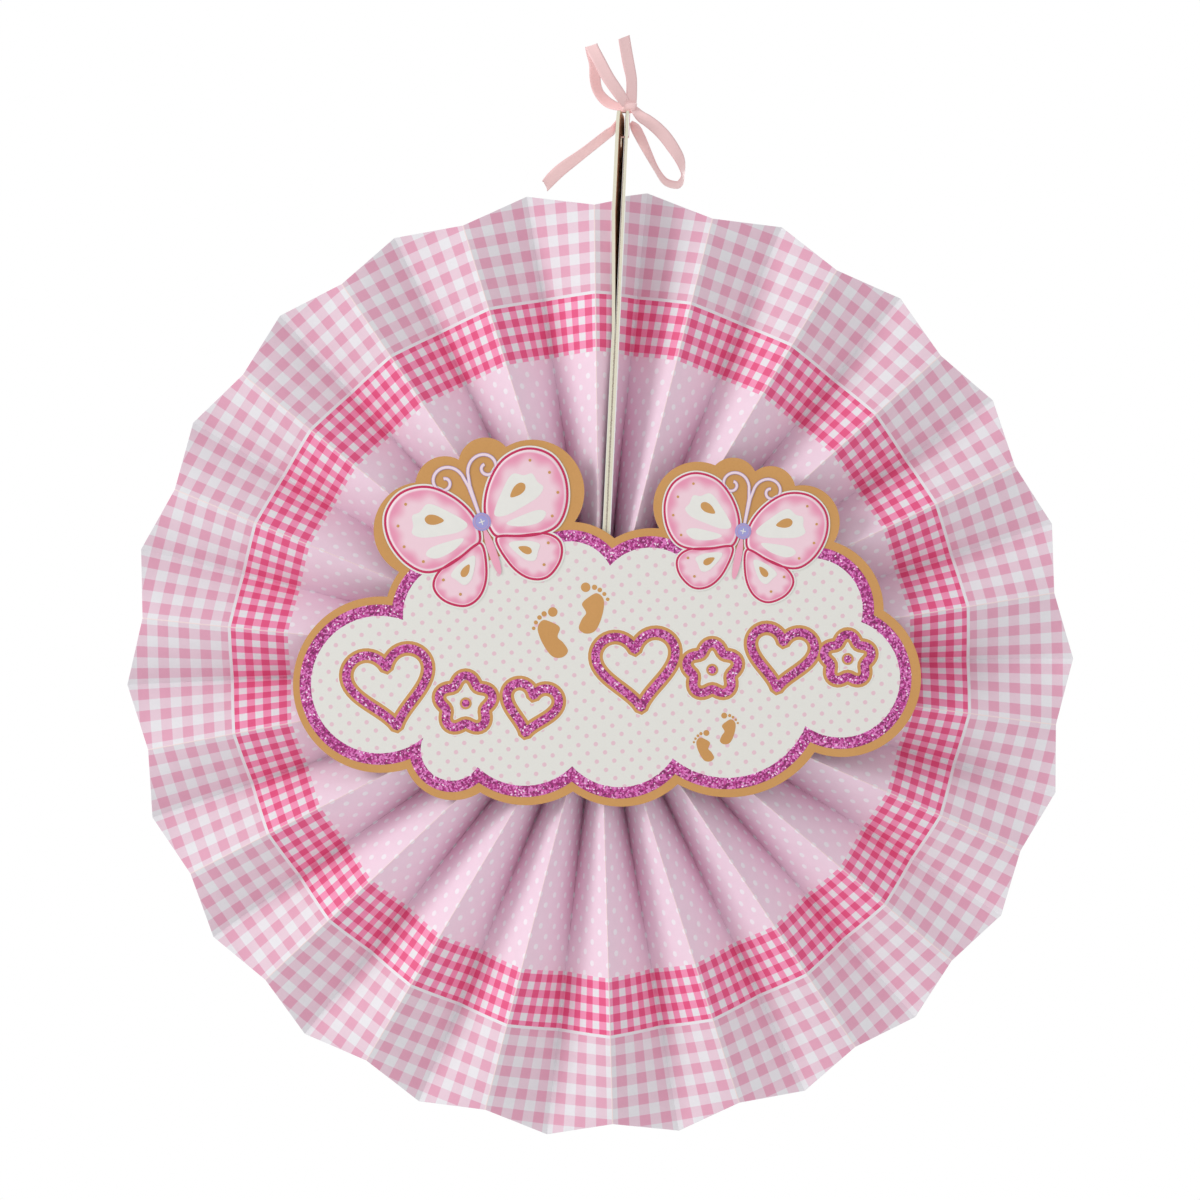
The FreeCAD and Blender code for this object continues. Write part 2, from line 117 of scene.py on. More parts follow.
def new_mesh(name, verts, faces, smooth=True):
    """Object at the origin with its place in its mesh."""
    mesh = bpy.data.meshes.new(name)
    mesh.from_pydata([tuple(v) for v in verts], [], faces)
    mesh.validate()
    mesh.polygons.foreach_set("use_smooth", [smooth] * len(mesh.polygons))
    return add_object(name, mesh)


def finish_piece(piece, slot, material, *nodes):
    """Give a piece its material, put it on the root body and hide the CAD parts of the nodes that it
    stands for; slot is not used.
    """
    if material:
        piece.data.materials.clear()
        piece.data.materials.append(material)
    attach(piece, "root")
    for node in nodes:
        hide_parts(node)


def grid_faces(rows, width, base=0):
    """Quads between the points of a grid, whose rows hold width points each."""
    lows = [base + row * width + column for row in range(rows - 1) for column in range(width - 1)]
    return [(low, low + 1, low + width + 1, low + width) for low in lows]


def thicken(piece, thickness, back=0):
    """Give a sheet its thickness, with its back and rim in the material numbered back."""
    solid = piece.modifiers.new("thickness", "SOLIDIFY")
    solid.thickness = thickness
    solid.offset = 0.0
    solid.material_offset = back
    solid.material_offset_rim = back
    bpy.context.view_layer.objects.active = piece
    bpy.ops.object.modifier_apply(modifier=solid.name)


def face_out(piece):
    """Turn a closed mesh's faces outwards."""
    work = bmesh.new()
    work.from_mesh(piece.data)
    bmesh.ops.recalc_face_normals(work, faces=work.faces)
    work.to_mesh(piece.data)
    work.free()


def curve_point(p0, p1, p2, p3, t):
    """Point a share t of the way from p1 to p2, on a smooth curve through four places."""
    return 0.5 * (2 * p1 + (p2 - p0) * t + (2 * p0 - 5 * p1 + 4 * p2 - p3) * t ** 2
                  + (3 * p1 - p0 - 3 * p2 + p3) * t ** 3)


# Shader expressions, with noise scales per metre

PAPER_GRAIN = 900.0
INK_GRAIN = 1600.0


def math_node(operation):
    """Method that puts a Math node after a value."""
    def method(self, *others):
        return self.shader.add("ShaderNodeMath", {"operation": operation}, self, *others)
    return method


class Value:
    """A shader socket whose sums and products add Math nodes."""

    __add__ = __radd__ = math_node("ADD")
    __sub__ = math_node("SUBTRACT")
    __mul__ = __rmul__ = math_node("MULTIPLY")
    __truediv__ = math_node("DIVIDE")
    fraction = math_node("FRACT")
    absolute = math_node("ABSOLUTE")
    cosine = math_node("COSINE")
    least = math_node("MINIMUM")
    above = math_node("GREATER_THAN")
    below = math_node("LESS_THAN")

    def __init__(self, shader, socket):
        self.shader = shader
        self.socket = socket

    def __rsub__(self, other):
        return self.shader.add("ShaderNodeMath", {"operation": "SUBTRACT"}, other, self)

    def smooth(self, low, high):
        """0 below low, 1 above high, and a smooth step between."""
        settings = {"interpolation_type": "SMOOTHSTEP"}
        return self.shader.add("ShaderNodeMapRange", settings, self, low, high, 0.0, 1.0)


class Shader:
    """A material's node tree, with one method that adds any node."""

    def __init__(self, name):
        self.material = bpy.data.materials.new(name)
        self.material.use_nodes = True
        self.nodes = self.material.node_tree.nodes
        self.links = self.material.node_tree.links
        self.surface = self.nodes["Principled BSDF"]

    def feed(self, socket, value):
        if isinstance(value, Value):
            self.links.new(value.socket, socket)
        elif value is not None:
            socket.default_value = value

    def add(self, kind, settings, *inputs, output=0, named=None):
        node = self.nodes.new(kind)
        for name, setting in settings.items():
            setattr(node, name, setting)
        for socket, value in zip(node.inputs, inputs):
            self.feed(socket, value)
        for name, value in (named or {}).items():
            self.feed(node.inputs[name], value)
        return Value(self, node.outputs[output])

    def mix(self, factor, first, second):
        node = self.nodes.new("ShaderNodeMix")
        node.data_type = "RGBA"
        self.feed(node.inputs[0], factor)
        for socket, colour in ((node.inputs[6], first), (node.inputs[7], second)):
            self.feed(socket, colour if isinstance(colour, Value) else (*colour, 1.0))
        return Value(self, node.outputs[2])

    def place(self):
        """Object coordinates."""
        return self.add("ShaderNodeTexCoord", {}, output=3)

    def uv(self, name):
        return self.add("ShaderNodeUVMap", {"uv_map": name})

    def parts(self, vector):
        """The three numbers of a vector or colour."""
        node = self.nodes.new("ShaderNodeSeparateXYZ")
        self.feed(node.inputs[0], vector)
        return [Value(self, out) for out in node.outputs]

    def noise(self, where, scale, detail=2.0, roughness=0.5):
        named = {"Vector": where, "Scale": scale, "Detail": detail, "Roughness": roughness}
        return self.add("ShaderNodeTexNoise", {}, named=named)

    def bump(self, height, strength, distance):
        named = {"Height": height, "Strength": strength, "Distance": distance}
        return self.add("ShaderNodeBump", {}, named=named)

    def grainy(self, colour, grain, roughness, change, relief, height=0.0002):
        """Finish with one grain that varies the roughness and raises the surface."""
        bump = self.bump(grain, relief, height)
        rough = roughness + (grain - 0.5) * change
        return self.finish(Base_Color=colour, Roughness=rough, Normal=bump)

    def finish(self, **sockets):
        for name, value in sockets.items():
            socket = self.surface.inputs[name.replace("_", " ")]
            if isinstance(value, tuple) and len(value) == 3:
                value = (*value, 1.0)
            self.feed(socket, value)
        return self.material


def linear(red, green, blue):
    """Colour written as it looks on screen, 0 to 255, as the shader's numbers."""
    def channel(level):
        level = level / 255
        return level / 12.92 if level <= 0.04045 else ((level + 0.055) / 1.055) ** 2.4
    return channel(red), channel(green), channel(blue)


# Folded paper sheet

def valley_angle(index):
    drift = DRIFT * math.sin(2 * math.pi * index / (PLEATS - 1))
    return START_GAP + index * PITCH + drift


def fold_angles():
    angles = []
    for index in range(PLEATS):
        angles.append(valley_angle(index))
        angles.append((valley_angle(index) + valley_angle(index + 1)) / 2)
    angles[-1] = 360.0 - END_GAP
    return angles


def fold_direction(angle, radius):
    crowd = math.degrees(math.asin((PAPER_OFFSET + PAPER) / radius))
    crowded = crowd + angle / 360.0 * (360.0 - 2 * crowd)
    settled = (radius - INNER) / (SETTLED - INNER)
    return crowded + (angle - crowded) * min(1.0, settled)


def fold_depth(radius):
    return math.sqrt(PANEL ** 2 - (HALF_PITCH * radius) ** 2)


def strip_opening(radius):
    share = min(1.0, max(0.0, (radius - PARTING) / (OPEN_HEIGHT - PARTING)))
    return SPREAD * share, TWIST * share


def radial_place(angle, radius, depth):
    turn = math.radians(90.0 - STRIP_LEAN - angle)
    return HUB + Vector((radius * math.cos(turn), depth, radius * math.sin(turn)))


def beside_strips(offset, radius, depth):
    turn = math.radians(90.0 - STRIP_LEAN)
    across = radius * math.cos(turn) + offset * math.sin(turn)
    up = radius * math.sin(turn) - offset * math.cos(turn)
    return HUB + Vector((across, depth, up))


def end_panel(radius, tip, gap, opens):
    """Width of the free part of an end panel beside the strips, and its depth at a radius."""
    def reach(place):
        fold = place * math.sin(math.radians(fold_direction(gap, place)))
        return fold - PAPER_OFFSET - opens * strip_opening(place)[0]

    width = math.hypot(reach(tip), END_DROP)
    return width, math.sqrt(width ** 2 - reach(radius) ** 2)


def fold_lines(share):
    """Every fold at a share of the way to the rim: place, paper across, paper from the hub."""
    valley = INNER + share * (VALLEY_TIP - INNER)
    ridge = INNER + share * (RIDGE_TIP - INNER)
    half = PANEL / 2
    slant = (valley - ridge) / PANEL
    free, rise = end_panel(valley, VALLEY_TIP, START_GAP, 0)
    radius = valley - slant * free
    places = [
        (beside_strips(PAPER_OFFSET, ridge, -half), PANEL, ridge),
        (beside_strips(PAPER_OFFSET, radius, fold_depth(valley) / 2 - rise), 2 * PANEL - free, radius),
    ]
    for index, angle in enumerate(fold_angles()):
        radius = valley if index % 2 == 0 else ridge
        depth = fold_depth(radius) / 2 * (1 if index % 2 == 0 else -1)
        place = radial_place(fold_direction(angle, radius), radius, depth)
        places.append((place, (index + 2) * PANEL, radius))
    free, rise = end_panel(ridge, RIDGE_TIP, END_GAP, 1)
    last = (2 * PLEATS + 1) * PANEL
    meets = rise - fold_depth(ridge) / 2
    ends = ((meets, ridge + slant * free, last + free), (half, valley, last + PANEL))
    for depth, radius, across in ends:
        spread, twist = strip_opening(radius)
        offset = depth * math.tan(twist) - PAPER_OFFSET - spread
        places.append((beside_strips(offset, radius, depth), across, radius))
    return places


def panel_points(start, end, to_front, share, columns):
    """Points across one panel, bowed forwards a little between its two folds."""
    chord = end - start
    bow = BOW * chord.length * math.sin(math.pi * min(1.0, share * 1.02)) ** 0.8
    middle = start + chord / 2 - HUB
    outward = Vector((middle.x, 0, middle.z)).normalized()
    normal = chord.cross(outward).normalized()
    if normal.y > 0:
        normal = -normal
    for column in range(columns + 1):
        part = column / columns
        lean = part if to_front else 1 - part
        rise = math.sin(math.pi * lean) * (0.45 + 0.55 * lean)
        yield start + chord * part + normal * bow * rise


def sheet_row(share):
    """Points across the whole sheet at a share of the way to the rim, and their flat places."""
    folds = fold_lines(share)
    points = []
    flat = []
    for index, (before, after) in enumerate(zip(folds, folds[1:])):
        start, first, near = before
        end, last, far = after
        glued = index in (0, len(folds) - 2)
        to_front = index % 2 == 0
        level = 0.0 if glued else share
        for column, point in enumerate(panel_points(start, end, to_front, level, COLUMNS)):
            if column == 0 and index > 0:
                continue
            part = column / COLUMNS
            points.append(point)
            flat.append((first + (last - first) * part, near + (far - near) * part))
    return points, flat


def make_fan_paper():
    """Sheet with soft panels between crisp folds, and UVs in metres of paper."""
    verts = []
    flat_uvs = []
    for row in range(ROWS + 1):
        points, flat = sheet_row(math.sin(math.pi / 2 * row / ROWS))
        verts.extend(points)
        flat_uvs.extend(flat)
    width = len(verts) // (ROWS + 1)
    paper = new_mesh("fan_paper", verts, grid_faces(ROWS + 1, width))
    layer = paper.data.uv_layers.new(name="flat_paper")
    for loop in paper.data.loops:
        layer.data[loop.index].uv = flat_uvs[loop.vertex_index]
    fold_columns = {index * COLUMNS for index in range(1, 2 * PLEATS + 4)}
    crisp = paper.data.attributes.new("sharp_edge", "BOOLEAN", "EDGE")
    for edge in paper.data.edges:
        first, second = edge.vertices
        along = abs(first - second) == width
        crisp.data[edge.index].value = along and first % width in fold_columns
    paper.data.materials.append(print_material())
    paper.data.materials.append(plain_paper())
    thicken(paper, PAPER, back=1)
    return paper


def print_material():
    """Two rings of gingham round a dotted field, with a pale line along each front fold and painted
    shade, deeper pink, in the field's valley folds near the hub.
    """
    shader = Shader("printed_pleats")
    where = shader.uv("flat_paper")
    across, out, _ = shader.parts(where)
    white = linear(234, 232, 235)
    light = gingham_bands(
        shader, across, out, (PANEL / 3, LIGHT_CHECK), RING_OUTER + LIGHT_EDGE,
        (white, linear(233, 205, 217), linear(228, 165, 188)),
    )
    dark = gingham_bands(
        shader, across, out, (PANEL / 4, DARK_CHECK), RING_INNER - DARK_CHECK / 4,
        (white, linear(244, 149, 185), linear(231, 84, 133)),
    )
    dots = polka_dots(across, out, PANEL / 3, FIELD_ROWS, FIELD_DOT)
    from_ridge = ((across / (2 * PANEL)).fraction() - 0.5).absolute() * (2 * PANEL)
    # Painted shade: the field's ground turns deeper pink towards each valley fold near the hub,
    # standing in for shade and pink bounce light in the folds
    deep = from_ridge.smooth(0.35 * PANEL, PANEL) * (1.0 - out.smooth(FIELD_SHADE_FULL, FIELD_SHADE_GONE))
    shaded_ground = shader.mix(deep * 0.5, linear(242, 216, 230), linear(246, 190, 219))
    field = shader.mix(dots, shaded_ground, linear(244, 238, 243))
    ring = shader.mix(out.below(RING_INNER), dark, field)
    outer = shader.mix(out.above(RING_OUTER), ring, light)
    in_line = (out - RING_OUTER).absolute().below(WHITE_LINE / 2)
    colour = shader.mix(in_line, outer, white)
    crease = 1.0 - from_ridge.smooth(*CREASE)
    colour = shader.mix(crease * 0.75, colour, linear(248, 226, 222))
    grain = shader.noise(where, PAPER_GRAIN, 3.0, 0.6)
    mottle = shader.noise(where, 260.0, 2.0, 0.5)
    shade = (grain - 0.5) * 0.05 + (mottle - 0.5) * 0.05
    colour = shader.add("ShaderNodeHueSaturation", {}, named={"Value": 1.0 + shade, "Color": colour})
    bump = shader.bump(grain, 0.12, 0.0002)
    return shader.finish(Base_Color=colour, Roughness=0.6 + shade, Normal=bump)


def plain_paper():
    """Unprinted back of the sheet."""
    shader = Shader("plain_paper_back")
    where = shader.uv("flat_paper")
    grain = shader.noise(where, PAPER_GRAIN, 3.0, 0.6)
    mottle = shader.noise(where, 120.0, 2.0, 0.5)
    colour = shader.mix(mottle, linear(238, 236, 233), linear(247, 246, 244))
    return shader.grainy(colour, grain, 0.7, 0.1, 0.15)


def gingham_bands(shader, across, out, periods, start, colours):
    """Checks from two crossed sets of stripes: white, one stripe, both stripes."""
    column = (across / periods[0] + 0.25).fraction().above(0.5)
    row = ((out - start) / periods[1]).fraction().above(0.5)
    both = column * row
    one = column + row - both * 2.0
    white, middle, deep = colours
    return shader.mix(both, shader.mix(one, white, middle), deep)


def polka_dots(across, out, width, height, radius):
    """Staggered round dots: 1 inside a dot."""
    def row(shift):
        x = ((across / width + shift).fraction() - 0.5) * width
        y = ((out / height + shift).fraction() - 0.5) * height
        return x * x + y * y
    distance = row(0.0).least(row(0.5))
    edge = radius * radius
    return 1.0 - distance.smooth(edge * 0.7, edge * 1.25)


# Card strips

def strip_material(name, outward):
    """Brown board inside, pale paper outside, pale cut edges and painted shade along the seam between
    the strips.
    """
    shader = Shader(name)
    where = shader.place()
    x, _, z = shader.parts(where)
    fibres = shader.noise(where, 1800.0, 4.0, 0.65)
    clouds = shader.noise(where, 90.0, 3.0, 0.5)
    normal = shader.add("ShaderNodeNewGeometry", {}, output=1)
    side = shader.parts(normal)[0] * outward
    board = shader.mix(clouds, linear(222, 184, 154), linear(234, 200, 172))
    paper = shader.mix(clouds, linear(238, 232, 230), linear(246, 241, 239))
    edge = shader.mix(fibres, linear(222, 216, 190), linear(240, 236, 216))
    lean = math.radians(STRIP_LEAN)
    seam = (x * math.cos(lean) - z * math.sin(lean)).absolute()
    rough = seam + (fibres - 0.5) * SEAM_SHADE_WANDER
    # Painted shade: the cut edges turn dark brown along the seam where the two strips meet
    edge = shader.mix(rough.smooth(*SEAM_SHADE), linear(126, 98, 70), edge)
    colour = shader.mix((side * -1.0).smooth(0.6, 0.9), edge, board)
    colour = shader.mix(side.smooth(0.6, 0.9), colour, paper)
    return shader.grainy(colour, fibres, 0.8, 0.2, 0.25, 0.0003)


# Ribbon

RIBBON = 5.5 * MM
RIBBON_GAUGE = 0.3 * MM
RIB_PITCH = 0.28 * MM
# Points across the ribbon, as shares of its width from its middle
ACROSS = [column / 6 - 0.5 for column in range(7)]
CROWN = 0.5 * MM
TAIL_NOTCH = 1.6 * MM
# Places: across, back and up from the knot in millimetres, then in degrees the slope of the
# ribbon's width in the picture and how far it turns away from the viewer
UPPER_LOOP = [
    (-1.0, -1.0, 1.2, 35, 41),
    (-4.0, -2.8, 5.4, 35, 23),
    (-8.8, -4.4, 12.2, 33, 14),
    (-12.5, -4.2, 19.1, 27, 14),
    (-15.1, -2.4, 24.1, 21, 8),
    (-15.9, 0.2, 26.4, 19, 8),
    (-15.4, 2.8, 24.2, 16, 8),
    (-14.3, 4.8, 19.1, 6, 23),
    (-14.2, 5.4, 12.2, 4, 35),
    (-12.7, 5.2, 7.2, 32, 37),
    (-9.2, 4.2, 3.1, 52, 32),
    (-4.8, 2.6, 0.9, 64, 46),
    (-1.0, 0.8, 0.3, 75, 60),
]
UPPER_TAIL = [
    (0.8, 0.6, 0.2, 5, 37),
    (1.15, 0.8, 5.4, -2, 37),
    (1.1, 0.4, 12.2, 4, 35),
    (0.0, -0.4, 17.8, 8, 26),
    (-1.1, -1.6, 23.6, 12, 26),
    (-2.1, -2.8, 29.4, 25, 23),
]
LOWER_LOOP = [
    (1.2, -0.4, 0.4, 70, 53),
    (4.6, -2.0, -3.6, 62, 28),
    (8.0, -3.2, -6.0, 58, 18),
    (12.1, -4.4, -9.5, 50, 11),
    (16.1, -5.0, -14.0, 42, 11),
    (20.4, -4.4, -20.5, 17, 28),
    (22.0, -3.0, -24.4, 10, 52),
    (22.7, -1.0, -28.5, 5, 76),
    (21.9, 0.8, -31.3, -45, 66),
    (19.9, 2.0, -32.3, -85, 63),
    (15.3, 3.0, -30.6, -120, 65),
    (11.7, 3.4, -25.5, -145, 71),
    (8.5, 3.2, -19.4, -152, 60),
    (5.3, 2.4, -13.0, -154, 46),
    (2.9, 1.2, -8.6, -155, 46),
    (0.9, 0.4, -6.0, -155, 81),
]
LOWER_TAIL = [
    (-5.2, 0.6, -5.9, -52, 81),
    (-6.8, 1.2, -9.1, -52, 60),
    (-9.4, 1.6, -11.1, -52, 52),
    (-19.4, 2.0, -18.9, -52, 47),
    (-27.7, 1.6, -25.1, -50, 28),
    (-32.0, 1.2, -29.0, -46, 26),
    (-35.6, 0.8, -33.0, -62, 37),
]
KNOT_RADIUS = 2.2 * MM
KNOT_LEAN = 0.5 * MM
KNOT_GAP = 0.25 * MM
KNOT_SHIFT = Vector((1.33 * MM, 0.0, 0.0))
KNOT = beside_strips(0.0, STRIP_TOP + KNOT_GAP + KNOT_RADIUS, 0.0) + KNOT_SHIFT
HOLE_HEIGHT = 221.0 * MM


def smooth_places(places, steps):
    """Places along a ribbon with steps more between each two, on a smooth curve."""
    result = []
    last = len(places) - 1
    for index in range(last):
        near = [Vector(places[min(last, max(0, index + shift))]) for shift in (-1, 0, 1, 2)]
        result.extend(curve_point(*near, step / steps) for step in range(steps))
    result.append(Vector(places[last]))
    return result


def ribbon_rows(places, steps=6):
    """Grid of points on a ribbon's middle surface, with a slight crown across it."""
    stations = smooth_places([Vector(place) for place in places], steps)
    rows = []
    for index, station in enumerate(stations):
        across, back, up, slope, turn = station
        angle = math.radians(slope)
        facing = math.cos(math.radians(turn))
        lean = math.sin(math.radians(turn))
        width = Vector((facing * math.cos(angle), lean, facing * math.sin(angle)))
        before = stations[max(0, index - 1)]
        after = stations[min(len(stations) - 1, index + 1)]
        run = Vector(after[:3]) - Vector(before[:3])
        normal = run.cross(width).normalized()
        middle = KNOT + Vector((across, back, up)) * MM
        rows.append([
            middle + width * RIBBON * part + normal * (0.25 - part ** 2) * CROWN for part in ACROSS
        ])
    return rows


def ribbon_piece(name, rows, notch):
    """Band from its grid of points, thickened, with UVs along and across it."""
    if notch:
        middle = (len(rows[-1]) - 1) / 2
        run = rows[-1][0] - rows[-2][0]
        for column, point in enumerate(rows[-1]):
            inward = 1 - abs(column - middle) / middle
            rows[-1][column] = point - run.normalized() * notch * inward
    width = len(rows[0])
    verts = [point for row in rows for point in row]
    band = new_mesh(name, verts, grid_faces(len(rows), width))
    lengths = [0.0]
    for before, after in zip(rows, rows[1:]):
        lengths.append(lengths[-1] + (after[width // 2] - before[width // 2]).length)
    layer = band.data.uv_layers.new(name="ribbon")
    for loop in band.data.loops:
        row, column = divmod(loop.vertex_index, width)
        layer.data[loop.index].uv = (column / (width - 1) * RIBBON, lengths[row])
    thicken(band, RIBBON_GAUGE)
    return band, lengths[-1]


def satin_material():
    """Pale pink satin with fine ribs along it and woven edges."""
    shader = Shader("pink_satin")
    where = shader.uv("ribbon")
    across = shader.parts(where)[0]
    ribs = (across / RIB_PITCH).fraction()
    rib = (ribs - 0.5).absolute() * 2.0
    weave = shader.noise(where, 2200.0, 2.0, 0.5)
    edge = (across / RIBBON - 0.5).absolute().smooth(0.42, 0.47)
    body = shader.mix(weave, linear(253, 209, 208), linear(255, 219, 217))
    colour = shader.mix(edge * 0.5, body, linear(248, 198, 199))
    bump = shader.bump(rib * 0.6 + weave * 0.4, 0.18, 0.0001)
    return shader.finish(
        Base_Color=colour, Roughness=0.42 + (weave - 0.5) * 0.15, Normal=bump, Sheen_Weight=0.15
    )


def make_ribbon():
    """Bow: two loops, two tails, the knot and the band through the punched holes."""
    material = satin_material()
    stretches = (
        ("ribbon_upper_loop", ribbon_rows(UPPER_LOOP), 0.0),
        ("ribbon_upper_tail", ribbon_rows(UPPER_TAIL), 0.0),
        ("ribbon_lower_loop", ribbon_rows(LOWER_LOOP), 0.0),
        ("ribbon_lower_tail", ribbon_rows(LOWER_TAIL), TAIL_NOTCH),
        ("ribbon_round_strips", strip_loop_rows(), 0.0),
        ("ribbon_knot", knot_rows(), 0.0),
    )
    total = 0.0
    for name, rows, notch in stretches:
        band, length = ribbon_piece(name, rows, notch)
        total += length
        finish_piece(band, "hanging_ribbon", material, "hanging_ribbon")
    print("ribbon length in metres:", round(total, 3))


def strip_loop_rows():
    """Band gathered through the holes and up both sides of the strips to the knot."""
    gathered = 3.6 * MM
    lift = 1.6 * MM
    low = HOLE_HEIGHT + lift
    high = STRIP_TOP + 0.55 * MM
    right = STRIP + 0.45 * MM
    left = -right - SPREAD - 0.13 * MM
    corners = [(right, low), (right, high), (left, high), (left, low)]
    path = []
    for (x0, z0), (x1, z1) in zip(corners, corners[1:] + corners[:1]):
        for step in range(8):
            part = step / 8
            path.append((x0 + (x1 - x0) * part, z0 + (z1 - z0) * part))
    path.append(path[0])
    return [
        [beside_strips(offset, height, part * gathered) for part in ACROSS]
        for offset, height in path
    ]


def knot_rows():
    """The turn of ribbon that binds the bow, puffed over the stretches inside it."""
    rows = []
    turns = 28
    for step in range(turns + 1):
        angle = 2 * math.pi * step / turns
        row = []
        for part in ACROSS:
            radius = KNOT_RADIUS * (1.0 - 0.9 * part ** 2)
            across = part * RIBBON * 1.1 + KNOT_LEAN * math.sin(angle)
            row.append(KNOT + Vector((across, radius * math.cos(angle), radius * math.sin(angle))))
        rows.append(row)
    return rows


# Die-cut card, in millimetres from the hub

# Round lobes of its outline: middle across and up, radius
LOBES = {
    "left_end": (-91.3, -8.2, 36.8),
    "left_shoulder": (-59.7, 20.9, 30.0),
    "left_wing": (-74.6, 56.4, 19.85),
    "left_feeler": (-64.7, 74.7, 12.4),
    "left_curl": (-47.8, 83.6, 11.3),
    "left_tip": (-28.2, 72.3, 21.7),
    "middle_left": (-11.9, 32.9, 26.8),
    "middle_right": (21.6, 26.5, 30.6),
    "right_wing": (40.7, 66.3, 18.5),
    "right_curl": (55.5, 76.2, 10.3),
    "right_feeler": (71.2, 72.6, 10.4),
    "right_tip": (84.6, 59.6, 15.4),
    "right_shoulder": (88.8, 23.2, 29.5),
    "right_end": (100.9, -5.4, 33.0),
    "bottom_right": (53.6, -11.5, 43.7),
    "bottom_middle": (8.7, -24.4, 34.7),
    "bottom_left": (-30.9, -21.9, 36.6),
    "bottom_corner": (-61.2, -35.3, 21.1),
}
# Cloud behind the butterflies, where the card's own edge isn't the cloud's
HIDDEN_LEFT = (-36.0, 27.0, 27.0)
HIDDEN_RIGHT = (58.0, 26.0, 28.0)
# Insets from the card's edge, heights over its face and sizes of the glitter's grains
GOLD_BORDER = 3.4
PRINT_SHIFT = 0.6
GLITTER_EDGE = 8.2
FIELD_OVERLAP = 0.3
FIELD_DEPTH = 0.06
INK_DEPTH = 0.05
GOLD_DEPTH = 0.12
GRAIN_STEP = 0.55
GRAIN_SWAY = 0.12
GRAIN_LEVELS = (0.08, 0.24)
# Dots of the cream field, in metres
CREAM_ROWS = 7.3 * MM
CREAM_DOT = 0.92 * MM
CREAM_LEAN = math.radians(3.3)


def cloud_lobes():
    """Lobes of the printed cloud, clockwise from its left end."""
    names = [name for name in LOBES if not name.endswith(("wing", "feeler", "curl", "tip"))]
    lobes = []
    for name in names:
        lobes.append(LOBES[name])
        if name == "left_shoulder":
            lobes.append(HIDDEN_LEFT)
        if name == "middle_right":
            lobes.append(HIDDEN_RIGHT)
    return [(across - PRINT_SHIFT, up, radius) for across, up, radius in lobes]


def crossing(first, second, inset):
    """Outer crossing of two neighbouring lobes that are both drawn in by an inset."""
    centre_a, centre_b = Vector(first[:2]), Vector(second[:2])
    radius_a, radius_b = first[2] - inset, second[2] - inset
    apart = centre_b - centre_a
    along = (apart.length_squared + radius_a ** 2 - radius_b ** 2) / (2 * apart.length)
    aside = math.sqrt(max(0.0, radius_a ** 2 - along ** 2))
    direction = apart.normalized()
    across = Vector((-direction.y, direction.x))
    foot = centre_a + direction * along
    return max((foot + across * aside, foot - across * aside), key=lambda point: point.length)


def lobe_arcs(lobes, inset):
    """For each lobe its centre, radius and the angles where its arc starts and ends."""
    arcs = []
    for index, lobe in enumerate(lobes):
        start = crossing(lobes[index - 1], lobe, inset) - Vector(lobe[:2])
        end = crossing(lobe, lobes[(index + 1) % len(lobes)], inset) - Vector(lobe[:2])
        first = math.atan2(start.y, start.x)
        last = math.atan2(end.y, end.x)
        if last > first:
            last -= 2 * math.pi
        arcs.append((Vector(lobe[:2]), lobe[2] - inset, first, last))
    return arcs


def cloud_outline(inset, spacing=1.2):
    """Points round the cloud at an inset from its edge, in millimetres from the hub."""
    points = []
    for centre, radius, first, last in lobe_arcs(cloud_lobes(), inset):
        steps = max(3, int(radius * (first - last) / spacing))
        for step in range(steps):
            angle = first + (last - first) * step / steps
            points.append((centre.x + radius * math.cos(angle), centre.y + radius * math.sin(angle)))
    return points


def card_point(across, up, level):
    """Place in the frame of a point at a level over the card's face."""
    return Vector((HUB.x + across * MM, CARD_FACE - level * MM, HUB.z + up * MM))


def on_card(piece, ink):
    """Finish a print on the card."""
    finish_piece(piece, "cloud_card", ink)


def flat_piece(name, outlines, level, depth=INK_DEPTH):
    """Thin plate from closed outlines, its top at a level over the card's face."""
    curve = bpy.data.curves.new(name, "CURVE")
    curve.dimensions = "2D"
    curve.fill_mode = "BOTH"
    curve.extrude = depth / 2 * MM
    for outline in outlines:
        spline = curve.splines.new("POLY")
        spline.points.add(len(outline) - 1)
        for point, (across, up) in zip(spline.points, outline):
            point.co = (across * MM, up * MM, 0.0, 1.0)
        spline.use_cyclic_u = True
    drawn = add_object(name + "_outline", curve)
    graph = bpy.context.evaluated_depsgraph_get()
    mesh = bpy.data.meshes.new_from_object(drawn.evaluated_get(graph))
    mesh.name = name
    bpy.data.objects.remove(drawn)
    turn = Matrix.Rotation(math.pi / 2, 4, "X")
    shift = Matrix.Translation(card_point(0.0, 0.0, level - depth / 2))
    mesh.transform(shift @ turn)
    return add_object(name, mesh)


def near_angle(angle, other):
    """The same direction, written within half a turn of another."""
    return angle + 2 * math.pi * round((other - angle) / (2 * math.pi))


